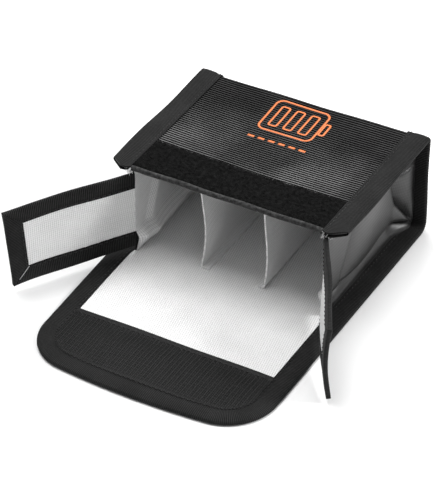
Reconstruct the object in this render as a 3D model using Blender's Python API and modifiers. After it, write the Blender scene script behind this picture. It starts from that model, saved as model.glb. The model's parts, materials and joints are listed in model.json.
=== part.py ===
"""A small fire-resistant battery bag: a sewn box of coated fabric with a fold-up lid, two side flaps, two dividers.

Frame: +Z up, +Y towards the closed rear of the bag. The origin is on the surface that the bag stands on, at the
middle of the line where the lid folds. The lid lies flat in front of the mouth, towards -Y, as it does when open.
All lengths are in metres. Every layer of cloth is an open sheet that a Solidify modifier gives its thickness.
"""

from math import cos, pi, radians, sin

import bmesh
import bpy
from mathutils import Vector

# Driving dimensions
WIDTH = 0.140
DEPTH = 0.101
HEIGHT = 0.0606
REAR_RADIUS = 0.008
SEAM_WIDTH = 0.0128
LID_LENGTH = 0.101
LID_CORNER_RADIUS = 0.028
LID_BOW = 0.002
LID_BINDING_WIDTH = 0.011
TIP_FOLD = 0.059
HOOK_START = 0.0533
LOOP_DEPTH = 0.0285
DIVIDER_X = 0.0192
FLAP_LENGTH = 0.0777
FLAP_YAW = radians(30.2)
FLAP_BOTTOM = 0.005
FLAP_TOP = 0.056
FLAP_BINDING_WIDTH = 0.0105

# Cloth thicknesses, and the gap between two layers
TAPE = 0.0005
SHELL = 0.0006
LINING = 0.0005
HOOK = 0.0008
LOOP = 0.001
DIVIDER = 0.0008
GAP = 0.0003

# Depth of each layer's middle below the outer face of a seam
OUTER_LEG = TAPE / 2
SHELL_DEPTH = TAPE + GAP + SHELL / 2
LINING_DEPTH = TAPE + GAP + SHELL + GAP + LINING / 2
INNER_LEG = LINING_DEPTH + LINING / 2 + GAP + TAPE / 2
SEAM = INNER_LEG + TAPE / 2
HOOK_DEPTH = SEAM - TAPE + HOOK / 2

# Where the side walls stand, just behind the inner edges of the seam tape, and where the flaps turn
HALF = WIDTH / 2
TAPE_WALL = HALF - TAPE / 2
CLOTH_EDGE = HALF - TAPE - GAP
GUSSET_TUCK = 0.00065
GUSSET_X = HALF - SEAM_WIDTH + GUSSET_TUCK
GUSSET_LINING_X = GUSSET_X - LINING - GAP
INNER_WIDTH = GUSSET_X - LINING / 2 - GAP
GUSSET_FRONT = 0.0066
FLAP_AXIS_X = 0.0575
FLAP_AXIS_Y = 0.0045
FOLD_GAP = 0.0005
TIP_GAP = 0.0008
MOUTH_FRONT = 0.0008
HEM_TOP = 0.0024
HEM_BOTTOM = 0.004
DIVIDER_FRONT = 0.0085
DIVIDER_HEM = 0.005
ARC_STEPS = 6

# Flap layers, measured from the flap's middle plane towards its outer side
FLAP_SHELL = (GAP + SHELL) / 2
FLAP_LINING = -(GAP + LINING) / 2
FLAP_LEG = GAP / 2 + SHELL + GAP + TAPE / 2
FLAP_ROOT_LIFT = 0.004
FLAP_ROOT = 0.0008


def clear_scene():
    for obj in list(bpy.data.objects):
        bpy.data.objects.remove(obj)


def make_material(name, colour, roughness, sheen=0.0):
    material = bpy.data.materials.new(name)
    material.use_nodes = True
    shader = material.node_tree.nodes["Principled BSDF"]
    shader.inputs["Base Color"].default_value = (*colour, 1.0)
    shader.inputs["Roughness"].default_value = roughness
    shader.inputs["Metallic"].default_value = 0.0
    shader.inputs["Sheen Weight"].default_value = sheen
    return material


def make_axis(name, place, yaw=0.0, parent=None):
    """An empty on a fold line, which carries everything that turns about that line."""
    axis = bpy.data.objects.new(name, None)
    axis.empty_display_size = 0.01
    axis.location = Vector(place) - (parent.location if parent else Vector())
    axis.rotation_euler = (0.0, 0.0, yaw)
    axis.parent = parent
    bag.objects.link(axis)
    return axis


def make_sheet(name, rows, thickness, material, axis=None, rear_edge=False):
    """A layer of cloth over a grid of points, rows of equal length. rear_edge closes a tray's rear with one face."""
    mesh = bpy.data.meshes.new(name)
    sheet = bmesh.new()
    grid = [[sheet.verts.new(point) for point in row] for row in rows]
    for near, far in zip(grid, grid[1:]):
        for i in range(len(near) - 1):
            sheet.faces.new((near[i], near[i + 1], far[i + 1], far[i]))
    if rear_edge:
        sheet.faces.new((grid[-1][0], grid[-1][1], grid[-1][2], grid[-1][3]))
    bmesh.ops.recalc_face_normals(sheet, faces=sheet.faces)
    sheet.to_mesh(mesh)
    sheet.free()
    obj = bpy.data.objects.new(name, mesh)
    obj.parent = axis
    mesh.materials.append(material)
    solid = obj.modifiers.new("thickness", "SOLIDIFY")
    solid.thickness = thickness
    solid.offset = 0.0
    solid.use_even_offset = True
    bag.objects.link(obj)
    return obj


def shifted(rows, axis):
    """The same points, measured from the axis that will carry them."""
    origin = axis.matrix_world.translation
    return [[Vector(point) - origin for point in row] for row in rows]


def arc(centre, radius, start, end):
    """Points (a, b) on a quarter turn, from angle start to angle end."""
    turns = [start + (end - start) * i / ARC_STEPS for i in range(ARC_STEPS + 1)]
    return [(centre[0] + radius * cos(t), centre[1] + radius * sin(t)) for t in turns]


def wrap(depth, front_bottom, front_top):
    """Side view (y, z) of a layer that runs along the floor, up the rear and forward along the top."""
    radius = REAR_RADIUS - depth
    low = (DEPTH - REAR_RADIUS, REAR_RADIUS)
    high = (DEPTH - REAR_RADIUS, HEIGHT - REAR_RADIUS)
    lower = [(front_bottom, depth)] + arc(low, radius, -pi / 2, 0)
    upper = arc(high, radius, 0, pi / 2) + [(front_top, HEIGHT - depth)]
    return lower + upper


def side_wall_rows(depth, front, columns):
    """Rows from front to rear of an upright panel. columns(bottom, top) gives a row's points from two (y, z)."""
    profile = wrap(depth, front, front)
    half = len(profile) // 2
    return [columns(profile[i], profile[-1 - i]) for i in range(half)]


def tip_half_outline(inset):
    """Plan view (x, y) of the lid's rounded end, from its fold to near the middle of its front edge."""
    centre_x = HALF - LID_CORNER_RADIUS
    centre_y = -LID_LENGTH + LID_BOW + LID_CORNER_RADIUS
    corner = arc((centre_x, centre_y), LID_CORNER_RADIUS - inset, 0, -pi / 2)
    front = []
    for share in (2 / 3, 1 / 3):
        front.append((centre_x * share, -LID_LENGTH + inset + LID_BOW * share**2))
    return [(HALF - inset, -TIP_FOLD - TIP_GAP)] + corner + front


def build_body():
    width = (-CLOTH_EDGE, CLOTH_EDGE)
    edge = MOUTH_FRONT + TAPE + GAP
    profile = wrap(SHELL_DEPTH, FOLD_GAP, edge)
    rows = [[(x, y, z) for x in width] for y, z in profile]
    make_sheet("outer_shell", rows, SHELL, coated_fabric)

    profile = wrap(LINING_DEPTH, FOLD_GAP, edge)
    rows = [[(x, y, z) for x in (-INNER_WIDTH, INNER_WIDTH)] for y, z in profile]
    make_sheet("inner_lining", rows, LINING, lining_fabric)

    hem_x = HALF - SEAM_WIDTH - GAP
    wall = MOUTH_FRONT + TAPE / 2
    profile = [
        (HEM_BOTTOM, HEIGHT - INNER_LEG),
        (wall, HEIGHT - INNER_LEG),
        (wall, HEIGHT - OUTER_LEG),
        (HEM_TOP, HEIGHT - OUTER_LEG),
    ]
    rows = [[(x, y, z) for x in (-hem_x, hem_x)] for y, z in profile]
    make_sheet("mouth_hem", rows, TAPE, binding_tape)

    loop_z = HEIGHT - TAPE + LOOP / 2
    rows = [[(x, y, loop_z) for x in (-hem_x, hem_x)] for y in (HEM_TOP + GAP, LOOP_DEPTH)]
    make_sheet("loop_strip", rows, LOOP, loop_tape)


def build_side(name, side):
    """The side wall, its lining, its divider and the tape round its seams. side is -1 on the left, 1 on the right."""

    def tray(bottom, top):
        return [
            (side * CLOTH_EDGE, *bottom),
            (side * GUSSET_X, *bottom),
            (side * GUSSET_X, *top),
            (side * CLOTH_EDGE, *top),
        ]

    def panel(bottom, top):
        return [(side * GUSSET_LINING_X, *bottom), (side * GUSSET_LINING_X, *top)]

    def hemmed(bottom, top):
        return [
            (side * (DIVIDER_X - DIVIDER_HEM), *bottom),
            (side * DIVIDER_X, *bottom),
            (side * DIVIDER_X, *top),
            (side * (DIVIDER_X + DIVIDER_HEM), *top),
        ]

    rows = side_wall_rows(LINING_DEPTH, GUSSET_FRONT, tray)
    make_sheet(name + "_gusset", rows, LINING, coated_fabric, rear_edge=True)

    inner_depth = LINING_DEPTH + LINING / 2 + GAP
    rows = side_wall_rows(inner_depth, GUSSET_FRONT, panel)
    make_sheet(name + "_gusset_lining", rows, LINING, lining_fabric)

    low = inner_depth + DIVIDER / 2
    ends = (DIVIDER_FRONT, DEPTH - REAR_RADIUS)
    rows = [hemmed((y, low), (y, HEIGHT - low)) for y in ends]
    make_sheet(name + "_divider", rows, DIVIDER, lining_fabric)

    outer = wrap(OUTER_LEG, FOLD_GAP, MOUTH_FRONT)
    inner = wrap(INNER_LEG, FOLD_GAP, MOUTH_FRONT)
    outer_x = side * (HALF - SEAM_WIDTH)
    inner_x = side * (GUSSET_X + LINING / 2 + GAP)
    rows = []
    for outside, inside in zip(outer, inner):
        rows.append(
            [
                (outer_x, *outside),
                (side * TAPE_WALL, *outside),
                (side * TAPE_WALL, *inside),
                (inner_x, *inside),
            ]
        )
    make_sheet(name + "_edge_binding", rows, TAPE, binding_tape)


def build_lid(axis):
    """The part of the lid that stands in front of the mouth when the bag is shut."""
    span = (-FOLD_GAP, -TIP_FOLD + TIP_GAP)
    edges = (-CLOTH_EDGE, CLOTH_EDGE)
    rows = [[(x, y, SHELL_DEPTH) for x in edges] for y in span]
    make_sheet("lid_shell", shifted(rows, axis), SHELL, coated_fabric, axis)

    rows = [[(x, y, LINING_DEPTH) for x in edges] for y in span]
    make_sheet("lid_lining", shifted(rows, axis), LINING, lining_fabric, axis)

    hook_x = HALF - LID_BINDING_WIDTH - GAP
    rows = [[(x, y, HOOK_DEPTH) for x in (-hook_x, hook_x)] for y in (-HOOK_START, span[1])]
    make_sheet("hook_strip_lower", shifted(rows, axis), HOOK, hook_tape, axis)

    for name, side in SIDES:
        inner_x = side * (HALF - LID_BINDING_WIDTH)
        rows = []
        for y in span:
            rows.append(
                [
                    (inner_x, y, OUTER_LEG),
                    (side * TAPE_WALL, y, OUTER_LEG),
                    (side * TAPE_WALL, y, INNER_LEG),
                    (inner_x, y, INNER_LEG),
                ]
            )
        make_sheet(f"lid_{name}_binding", shifted(rows, axis), TAPE, binding_tape, axis)


def build_tip(axis):
    """The round-cornered end of the lid, which folds over the top and carries most of the hook strip."""

    def flat_rows(inset, depth):
        return [[(-x, y, depth), (x, y, depth)] for x, y in tip_half_outline(inset)]

    cloth_inset = TAPE + GAP
    rows = flat_rows(cloth_inset, SHELL_DEPTH)
    make_sheet("lid_tip_shell", shifted(rows, axis), SHELL, coated_fabric, axis)

    rows = flat_rows(cloth_inset, LINING_DEPTH)
    make_sheet("lid_tip_lining", shifted(rows, axis), LINING, lining_fabric, axis)

    rows = flat_rows(LID_BINDING_WIDTH + GAP, HOOK_DEPTH)
    make_sheet("hook_strip", shifted(rows, axis), HOOK, hook_tape, axis)

    def whole_outline(inset):
        half = tip_half_outline(inset)
        return [(-x, y) for x, y in half] + half[::-1]

    rows = []
    for outer, inner in zip(whole_outline(TAPE / 2), whole_outline(LID_BINDING_WIDTH)):
        rows.append(
            [
                (*inner, OUTER_LEG),
                (*outer, OUTER_LEG),
                (*outer, INNER_LEG),
                (*inner, INNER_LEG),
            ]
        )
    make_sheet("lid_tip_binding", shifted(rows, axis), TAPE, binding_tape, axis)


def build_flap(name, side, axis):
    """A side flap. Its points are (along the flap, out of its face, up), measured from its upright axis."""

    def outline(inset):
        """Root bottom, far bottom, far top and root top, as (along, up)."""
        return [
            (FLAP_ROOT, FLAP_BOTTOM + FLAP_ROOT_LIFT + inset),
            (FLAP_LENGTH - inset, FLAP_BOTTOM + inset),
            (FLAP_LENGTH - inset, FLAP_TOP - inset),
            (FLAP_ROOT, FLAP_TOP - inset),
        ]

    def face(inset, out):
        bottom_root, bottom_far, top_far, top_root = outline(inset)
        pairs = ((bottom_root, top_root), (bottom_far, top_far))
        return [[(u, side * out, z) for u, z in pair] for pair in pairs]

    cloth_inset = TAPE + GAP
    make_sheet(name + "_flap_shell", face(cloth_inset, FLAP_SHELL), SHELL, coated_fabric, axis)
    make_sheet(name + "_flap_lining", face(cloth_inset, FLAP_LINING), LINING, lining_fabric, axis)

    rows = []
    for (u_out, z_out), (u_in, z_in) in zip(outline(TAPE / 2), outline(FLAP_BINDING_WIDTH)):
        rows.append(
            [
                (u_in, side * FLAP_LEG, z_in),
                (u_out, side * FLAP_LEG, z_out),
                (u_out, -side * FLAP_LEG, z_out),
                (u_in, -side * FLAP_LEG, z_in),
            ]
        )
    make_sheet(name + "_flap_binding", rows, TAPE, binding_tape, axis)


clear_scene()
bag = bpy.data.collections.new("battery_bag")
bpy.context.scene.collection.children.link(bag)

coated_fabric = make_material("coated_fabric", (0.055, 0.056, 0.060), 0.55, sheen=0.1)
lining_fabric = make_material("lining_fabric", (0.82, 0.82, 0.82), 0.85)
binding_tape = make_material("binding_tape", (0.024, 0.024, 0.026), 0.80)
hook_tape = make_material("hook_tape", (0.022, 0.022, 0.024), 0.60)
loop_tape = make_material("loop_tape", (0.012, 0.012, 0.013), 0.95, sheen=0.2)

SIDES = (("left", -1), ("right", 1))
build_body()
for side_name, side_sign in SIDES:
    build_side(side_name, side_sign)

lid_axis = make_axis("lid_axis", (0.0, 0.0, SEAM))
tip_axis = make_axis("lid_tip_axis", (0.0, -TIP_FOLD, SEAM), parent=lid_axis)
bpy.context.view_layer.update()
build_lid(lid_axis)
build_tip(tip_axis)

for side_name, side_sign in SIDES:
    flap_axis = make_axis(
        side_name + "_flap_axis",
        (side_sign * FLAP_AXIS_X, FLAP_AXIS_Y, 0.0),
        yaw=side_sign * FLAP_YAW - pi / 2,
    )
    build_flap(side_name, side_sign, flap_axis)
bpy.context.view_layer.update()
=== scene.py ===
"""The looks of a small sewn battery bag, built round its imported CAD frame.

Every layer of cloth is a grid of points with a Solidify modifier. Each grid also carries a "cloth" attribute, the
place on the flat cloth in metres, which the weaves are drawn from, so that they bend with the cloth.
Lengths are in metres. +X is right, +Y goes to the closed rear, +Z is up, and the lid folds about the line y = 0.
"""

import json
from math import asin, cos, hypot, pi, radians, sin, sqrt

import bpy
import numpy as np
from mathutils import Matrix, Vector


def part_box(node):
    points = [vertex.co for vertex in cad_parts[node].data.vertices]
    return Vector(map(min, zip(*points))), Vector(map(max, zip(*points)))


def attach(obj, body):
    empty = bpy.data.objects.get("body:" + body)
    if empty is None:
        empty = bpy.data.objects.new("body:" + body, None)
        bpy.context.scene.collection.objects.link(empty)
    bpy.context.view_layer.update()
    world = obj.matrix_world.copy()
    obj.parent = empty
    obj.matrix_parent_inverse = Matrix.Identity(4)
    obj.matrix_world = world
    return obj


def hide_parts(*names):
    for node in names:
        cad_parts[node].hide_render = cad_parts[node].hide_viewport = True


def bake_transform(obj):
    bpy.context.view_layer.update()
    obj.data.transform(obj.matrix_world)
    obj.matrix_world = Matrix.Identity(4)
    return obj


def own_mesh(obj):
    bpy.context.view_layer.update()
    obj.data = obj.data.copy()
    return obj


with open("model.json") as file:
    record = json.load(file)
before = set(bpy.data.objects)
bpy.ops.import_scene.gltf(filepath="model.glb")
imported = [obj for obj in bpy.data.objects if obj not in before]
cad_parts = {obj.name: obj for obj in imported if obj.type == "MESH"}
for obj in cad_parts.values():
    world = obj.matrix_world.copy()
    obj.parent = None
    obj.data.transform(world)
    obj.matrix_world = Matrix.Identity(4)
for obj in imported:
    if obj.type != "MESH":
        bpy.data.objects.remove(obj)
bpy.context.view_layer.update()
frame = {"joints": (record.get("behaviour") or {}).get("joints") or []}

# Sizes read from the frame
JOINTS = {joint["name"]: joint for joint in frame["joints"]}
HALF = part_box("right_edge_binding")[1][0]
SEAM_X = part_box("right_edge_binding")[0][0]
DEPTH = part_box("right_edge_binding")[1][1]
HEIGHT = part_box("right_edge_binding")[1][2]
LID_LENGTH = -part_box("lid_tip_binding")[0][1]
LOOP_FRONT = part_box("loop_strip")[0][1]
LOOP_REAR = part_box("loop_strip")[1][1]
LOOP_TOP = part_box("loop_strip")[1][2]
HOOK_START = -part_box("hook_strip_lower")[1][1]
GUSSET_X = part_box("right_gusset")[0][0] + 0.00025
DIVIDER_FRONT, DIVIDER_REAR = (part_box("right_divider")[i][1] for i in (0, 1))
WALL_FRONT = JOINTS["right_flap_fold"]["pos_m"][1] + 0.0002
DIVIDER_X = sum(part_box("right_divider")[i][0] for i in (0, 1)) / 2
TIP_FOLD = -JOINTS["lid_tip_fold"]["pos_m"][1]
FLAP_AXIS = JOINTS["right_flap_fold"]["pos_m"]
FLAP_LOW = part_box("right_flap_binding")[0][2]
FLAP_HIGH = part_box("right_flap_binding")[1][2]

# Shape of the visual cloth
SEAM_WIDTH = HALF - SEAM_X
LOW_RADIUS, HIGH_RADIUS = 0.006, 0.003
CORNER_RADIUS = 0.028
LID_BOW = 0.002
LID_TAPE = 0.011
FLAP_TAPE = 0.0103
BODY_SPLIT = 0.008
LID_SPLIT = -0.0295
RIB = 0.00105
STITCH_PITCH = 0.0031

# Thickness of each cloth, and the depth of its middle below the outer face of a seam
TAPE, SHELL, LINING = 0.0004, 0.0006, 0.0005
SHELL_DEPTH, LINING_DEPTH = 0.0009, 0.0017
TAPE_FOLD = 0.0024
FLAP_FOLD = 0.0019
SEAM_LAP = 0.0012

# Spacing of the ribs woven into each cloth
COATED_ROW, COATED_COLUMN = 0.00178, 0.00115
HOOK_COLUMN = 0.00115

# Creases of the side walls: the steep side's width, the grid's spacing, and how many cells wider the lining's are
CREASE_LIP = 0.0006
WALL_SPACING = 0.0006
LINING_REACH = 3

SIDES = (("left", -1), ("right", 1))
FLAP_AXIS_X, FLAP_AXIS_Y = abs(FLAP_AXIS[0]), FLAP_AXIS[1]


# ---------------------------------------------------------------- materials


def new_material(name):
    """A node material with its tree, its shader and its shader's inputs."""
    material = bpy.data.materials.new(name)
    material.use_nodes = True
    return material, material.node_tree, material.node_tree.nodes["Principled BSDF"]


def add_node(tree, kind, settings=None, inputs=None):
    """A node with its settings, and with each input set to a value or linked to a socket."""
    made = tree.nodes.new(kind)
    for key, value in (settings or {}).items():
        setattr(made, key, value)
    for key, value in (inputs or {}).items():
        if isinstance(value, bpy.types.NodeSocket):
            tree.links.new(value, made.inputs[key])
        else:
            made.inputs[key].default_value = value
    return made


def maths(tree, operation, *values):
    return add_node(
        tree, "ShaderNodeMath", {"operation": operation}, dict(enumerate(values))
    ).outputs[0]


def cloth_axes(tree):
    """The place on the flat cloth: along it and across it, and both as one vector."""
    place = add_node(tree, "ShaderNodeAttribute", {"attribute_name": "cloth"}).outputs["Vector"]
    axes = add_node(tree, "ShaderNodeSeparateXYZ", inputs={0: place})
    return axes.outputs[0], axes.outputs[1], place


def ridges(tree, axis, period, phase=0.0):
    """A wave from 0 to 1 along an axis."""
    turn = maths(tree, "MULTIPLY", axis, 2 * pi / period)
    wave = maths(tree, "SINE", maths(tree, "ADD", turn, phase))
    return maths(tree, "MULTIPLY_ADD", wave, 0.5, 0.5)


def noise(tree, vector, scale, detail=2.0, roughness=0.5):
    inputs = {"Vector": vector, "Scale": scale, "Detail": detail, "Roughness": roughness}
    return add_node(tree, "ShaderNodeTexNoise", inputs=inputs).outputs["Fac"]


def ramp(tree, factor, stops):
    """A colour ramp. stops are (position, grey or colour)."""
    made = add_node(tree, "ShaderNodeValToRGB", inputs={"Fac": factor})
    elements = made.color_ramp.elements
    while len(elements) < len(stops):
        elements.new(0.5)
    for element, (position, colour) in zip(elements, stops):
        element.position = position
        element.color = (*colour, 1.0) if hasattr(colour, "__len__") else (colour,) * 3 + (1.0,)
    return made.outputs["Color"]


def bump(tree, shader, height, distance, strength=1.0):
    inputs = {"Height": height, "Distance": distance, "Strength": strength}
    normal = add_node(tree, "ShaderNodeBump", inputs=inputs).outputs["Normal"]
    tree.links.new(normal, shader.inputs["Normal"])


def coated_material():
    """Charcoal coated cloth: bold rows of flat yarn with dark furrows between, crossed by finer columns. Its
    colour also carries painted sheen in broad patches and towards the front of the top, and painted shade towards
    the top's rear edge.
    """
    material, tree, shader = new_material("coated_cloth")
    across, along, place = cloth_axes(tree)
    rows = ramp(tree, ridges(tree, along, COATED_ROW), [(0.30, 0.0), (0.80, 1.0)])
    columns = ridges(tree, across, COATED_COLUMN)
    streak_place = add_node(
        tree, "ShaderNodeVectorMath", {"operation": "MULTIPLY"}, {0: place, 1: (70.0, 560.0, 1.0)}
    ).outputs[0]
    streaks = noise(tree, streak_place, 1.0, 2.0)
    # Painted sheen: broad patches that lighten the colour where the light would glint.
    patches = ramp(tree, noise(tree, place, 26.0, 2.0), [(0.38, 0.0), (0.62, 1.0)])
    smooth = {"interpolation_type": "SMOOTHSTEP"}
    # Painted shade: the colour is darkest towards the top's rear edge and round the rear and floor, and brightest
    # towards the front.
    front = add_node(
        tree, "ShaderNodeMapRange", smooth, {0: along, 1: 0.165, 2: 0.235, 3: 0.3, 4: 1.0}
    ).outputs[0]
    threads = maths(tree, "MULTIPLY", rows, maths(tree, "MULTIPLY_ADD", columns, 0.3, 0.7))
    # Painted sheen in the colour: this mix of the patches and the front gradient brightens the colour. It also
    # sets the real gloss of the roughness and the specular.
    painted_sheen_and_gloss = maths(tree, "MULTIPLY", front, maths(tree, "MULTIPLY_ADD", patches, 0.55, 0.40))
    tone = maths(tree, "MULTIPLY_ADD", painted_sheen_and_gloss, 0.75, maths(tree, "MULTIPLY", streaks, 0.25))
    colour = ramp(tree, maths(tree, "MULTIPLY", threads, tone), [(0.0, 0.001), (0.25, 0.015), (0.85, 0.088)])
    tree.links.new(colour, shader.inputs["Base Color"])
    rough = maths(tree, "MULTIPLY_ADD", painted_sheen_and_gloss, -0.18, 0.52)
    tree.links.new(rough, shader.inputs["Roughness"])
    specular = maths(tree, "MULTIPLY", rows, maths(tree, "MULTIPLY_ADD", painted_sheen_and_gloss, 0.35, 0.1))
    tree.links.new(specular, shader.inputs["Specular IOR Level"])
    bump(tree, shader, rows, 0.00012)
    return material


def wall_material():
    """The same coated cloth on the side walls, seen from its finer side: close threads along the wall."""
    material, tree, shader = new_material("wall_cloth")
    across, along, place = cloth_axes(tree)
    fine = ridges(tree, across, 0.0009)
    patches = noise(tree, place, 45.0, 3.0)
    threads = maths(tree, "MULTIPLY_ADD", fine, 0.6, maths(tree, "MULTIPLY", ridges(tree, along, 0.0021), 0.4))
    tone = maths(tree, "MULTIPLY_ADD", threads, 0.4, maths(tree, "MULTIPLY", patches, 0.7))
    colour = ramp(tree, tone, [(0.25, 0.002), (0.8, 0.036)])
    tree.links.new(colour, shader.inputs["Base Color"])
    rough = maths(tree, "MULTIPLY_ADD", patches, 0.2, 0.22)
    tree.links.new(rough, shader.inputs["Roughness"])
    bump(tree, shader, threads, 0.00006)
    return material


def lining_material():
    """White glass-cloth lining with a fine diagonal twill."""
    material, tree, shader = new_material("white_lining")
    across, along, place = cloth_axes(tree)
    diagonal = maths(tree, "ADD", across, maths(tree, "MULTIPLY", along, 0.18))
    twill = ridges(tree, diagonal, 0.0012)
    weft = ridges(tree, along, 0.0014)
    grain = noise(tree, place, 900.0, 2.0)
    cloud = noise(tree, place, 40.0, 2.0)
    height = maths(tree, "MULTIPLY_ADD", twill, 0.65, maths(tree, "MULTIPLY", weft, 0.35))
    tone = maths(tree, "MULTIPLY_ADD", height, 0.45, maths(tree, "MULTIPLY_ADD", grain, 0.25, 0.1))
    tone = maths(tree, "MULTIPLY_ADD", cloud, 0.3, tone)
    colour = ramp(tree, tone, [(0.2, 0.49), (0.72, 0.88)])
    tree.links.new(colour, shader.inputs["Base Color"])
    shader.inputs["Roughness"].default_value = 0.8
    shader.inputs["Specular IOR Level"].default_value = 0.2
    bump(tree, shader, height, 0.00018)
    return material


def tape_material():
    """Black ribbed binding tape. The ribs are in the mesh; here they get lint, fine threads and paler crests."""
    material, tree, shader = new_material("binding_tape")
    along, across, place = cloth_axes(tree)
    ribs = ridges(tree, along, RIB, -pi / 2)
    threads = ridges(tree, across, 0.0007)
    lint = noise(tree, place, 700.0, 3.0)
    cloud = noise(tree, place, 60.0, 2.0)
    tone = maths(tree, "MULTIPLY_ADD", ribs, 0.6, maths(tree, "MULTIPLY", lint, 0.3))
    tone = maths(tree, "MULTIPLY_ADD", cloud, 0.3, tone)
    colour = ramp(tree, tone, [(0.3, 0.0008), (0.62, 0.005), (0.98, 0.040)])
    tree.links.new(colour, shader.inputs["Base Color"])
    shader.inputs["Roughness"].default_value = 0.75
    shader.inputs["Specular IOR Level"].default_value = 0.12
    shader.inputs["Sheen Weight"].default_value = 0.04
    shader.inputs["Sheen Roughness"].default_value = 0.5
    bump(tree, shader, maths(tree, "MULTIPLY_ADD", threads, 0.5, lint), 0.00010)
    return material


def pile_material(name, dark, light, roughness, sheen):
    """Mottled black plastic fibres, for the hook tape and the loop tape."""
    material, tree, shader = new_material(name)
    place = add_node(tree, "ShaderNodeAttribute", {"attribute_name": "cloth"}).outputs["Vector"]
    lint = noise(tree, place, 800.0, 3.0, 0.7)
    cloud = noise(tree, place, 420.0, 3.0)
    tone = maths(tree, "MULTIPLY_ADD", lint, 0.5, maths(tree, "MULTIPLY", cloud, 0.5))
    colour = ramp(tree, tone, [(0.42, dark), (0.62, light)])
    tree.links.new(colour, shader.inputs["Base Color"])
    shader.inputs["Roughness"].default_value = roughness
    shader.inputs["Specular IOR Level"].default_value = 0.08
    shader.inputs["Sheen Weight"].default_value = sheen
    bump(tree, shader, lint, 0.0003)
    return material


def hook_base_material():
    """The base of the hook tape: close columns that run away from the fold, and a plain selvedge behind them."""
    material, tree, shader = new_material("hook_base")
    across, along, place = cloth_axes(tree)
    columns = ridges(tree, across, HOOK_COLUMN)
    breaks = ridges(tree, along, 0.0025)
    lint = noise(tree, place, 600.0, 3.0)
    tone = maths(tree, "MULTIPLY_ADD", columns, 0.6, maths(tree, "MULTIPLY", lint, 0.35))
    tone = maths(tree, "MULTIPLY_ADD", breaks, 0.12, tone)
    edge = {0: along, 1: -HOOK_START - 0.0030, 2: -HOOK_START - 0.0024, 3: 0.0, 4: 1.0}
    selvedge = add_node(tree, "ShaderNodeMapRange", None, edge).outputs[0]
    colour = ramp(tree, tone, [(0.25, 0.0004), (0.6, 0.004), (0.95, 0.026)])
    plain = ramp(tree, lint, [(0.3, 0.005), (0.8, 0.020)])
    mixed = add_node(tree, "ShaderNodeMix", {"data_type": "RGBA"}, {0: selvedge, 6: colour, 7: plain}).outputs[2]
    tree.links.new(mixed, shader.inputs["Base Color"])
    shader.inputs["Roughness"].default_value = 0.6
    shader.inputs["Specular IOR Level"].default_value = 0.2
    bump(tree, shader, lint, 0.0002)
    return material


def thread_material(name, dark, light):
    """Twisted sewing thread."""
    material, tree, shader = new_material(name)
    place = add_node(tree, "ShaderNodeTexCoord").outputs["Object"]
    grain = noise(tree, place, 1800.0, 2.0)
    colour = ramp(tree, grain, [(0.3, dark), (0.7, light)])
    tree.links.new(colour, shader.inputs["Base Color"])
    shader.inputs["Roughness"].default_value = 0.6
    bump(tree, shader, grain, 0.0001)
    return material


def print_material():
    """Orange screen print, thin enough that the weave breaks it up."""
    material, tree, shader = new_material("orange_print")
    across, along, place = cloth_axes(tree)
    rows = ridges(tree, along, COATED_ROW)
    columns = ridges(tree, across, COATED_COLUMN)
    threads = maths(tree, "MULTIPLY", rows, columns)
    worn = maths(tree, "MULTIPLY_ADD", noise(tree, place, 500.0), 0.5, threads)
    colour = ramp(tree, worn, [(0.15, (0.55, 0.13, 0.035)), (0.6, (0.86, 0.24, 0.07))])
    tree.links.new(colour, shader.inputs["Base Color"])
    shader.inputs["Roughness"].default_value = 0.55
    bump(tree, shader, threads, 0.00012)
    return material


def floor_material():
    material, tree, shader = new_material("pale_floor")
    place = add_node(tree, "ShaderNodeTexCoord").outputs["Object"]
    colour = ramp(tree, noise(tree, place, 6.0), [(0.0, 0.90), (1.0, 0.93)])
    tree.links.new(colour, shader.inputs["Base Color"])
    shader.inputs["Roughness"].default_value = 0.9
    return material


COATED = coated_material()
WALL = wall_material()
WHITE = lining_material()
TAPE_BLACK = tape_material()
HOOK_BASE = hook_base_material()
HOOK = pile_material("hook_plastic", 0.010, 0.040, 0.4, 0.0)
LOOP = pile_material("loop_pile", 0.0004, 0.007, 0.9, 0.02)
HEM = pile_material("hem_tape", 0.012, 0.055, 0.4, 0.1)
FUZZ = pile_material("loop_fuzz", 0.0008, 0.022, 0.7, 0.02)
BLACK_THREAD = thread_material("black_thread", 0.001, 0.005)
WHITE_THREAD = thread_material("white_thread", 0.55, 0.85)
ORANGE = print_material()


# ---------------------------------------------------------------- building blocks


def finish_mesh(name, points, faces, cloth, material):
    """A mesh object from points and faces. cloth is each point's place on the flat cloth, or None."""
    mesh = bpy.data.meshes.new(name)
    faces = faces.tolist() if isinstance(faces, np.ndarray) else faces
    mesh.from_pydata(np.asarray(points, float).tolist(), [], faces)
    mesh.materials.append(material)
    mesh.polygons.foreach_set("use_smooth", [True] * len(mesh.polygons))
    if cloth is not None:
        flat = np.zeros((len(points), 3), np.float32)
        flat[:, :2] = cloth
        attribute = mesh.attributes.new("cloth", "FLOAT_VECTOR", "POINT")
        attribute.data.foreach_set("vector", flat.ravel())
    obj = bpy.data.objects.new(name, mesh)
    bpy.context.scene.collection.objects.link(obj)
    return obj


def grid_faces(rows, columns, closed=False):
    """Faces of a grid of points. closed joins each row's end to its start."""
    index = np.arange(rows * columns).reshape(rows, columns)
    if closed:
        index = np.concatenate([index, index[:, :1]], axis=1)
    corners = (index[:-1, :-1], index[:-1, 1:], index[1:, 1:], index[1:, :-1])
    return np.stack(corners, axis=-1).reshape(-1, 4)


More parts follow.
